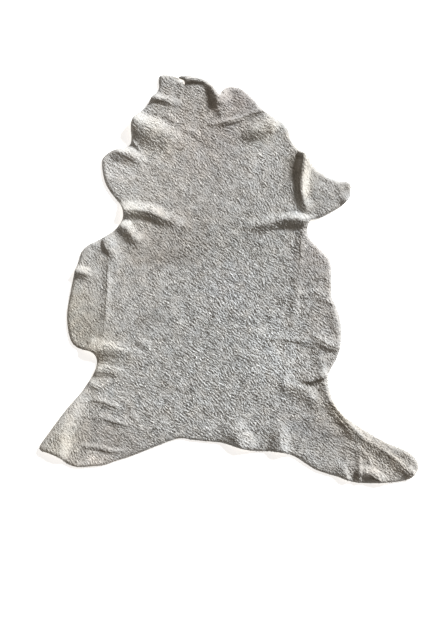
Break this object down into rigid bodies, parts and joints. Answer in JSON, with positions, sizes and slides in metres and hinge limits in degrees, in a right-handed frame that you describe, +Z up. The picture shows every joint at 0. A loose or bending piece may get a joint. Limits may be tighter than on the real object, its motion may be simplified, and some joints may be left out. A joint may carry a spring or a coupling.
{
  "type": "sheepskin",
  "caption": "Shorn sheepskin laid flat, wool side up, with its natural neck, belly and leg outline and shallow folds along the edges; a floor or seat throw.",
  "frame": {"origin": "centre of the outline's box on the surface the skin lies on", "axes": "+Z up, out of the wool; +Y along the back towards the neck; +X towards the right hind leg's side, seen from above with the neck away"},
  "size_m": [0.9864, 1.064, 0.0265],
  "materials": {
    "wool": "short curly undyed grey-white wool on tanned skin"
  },
  "bodies": {
    "root": {"sheepskin": "wool"}
  },
  "joints": []
}
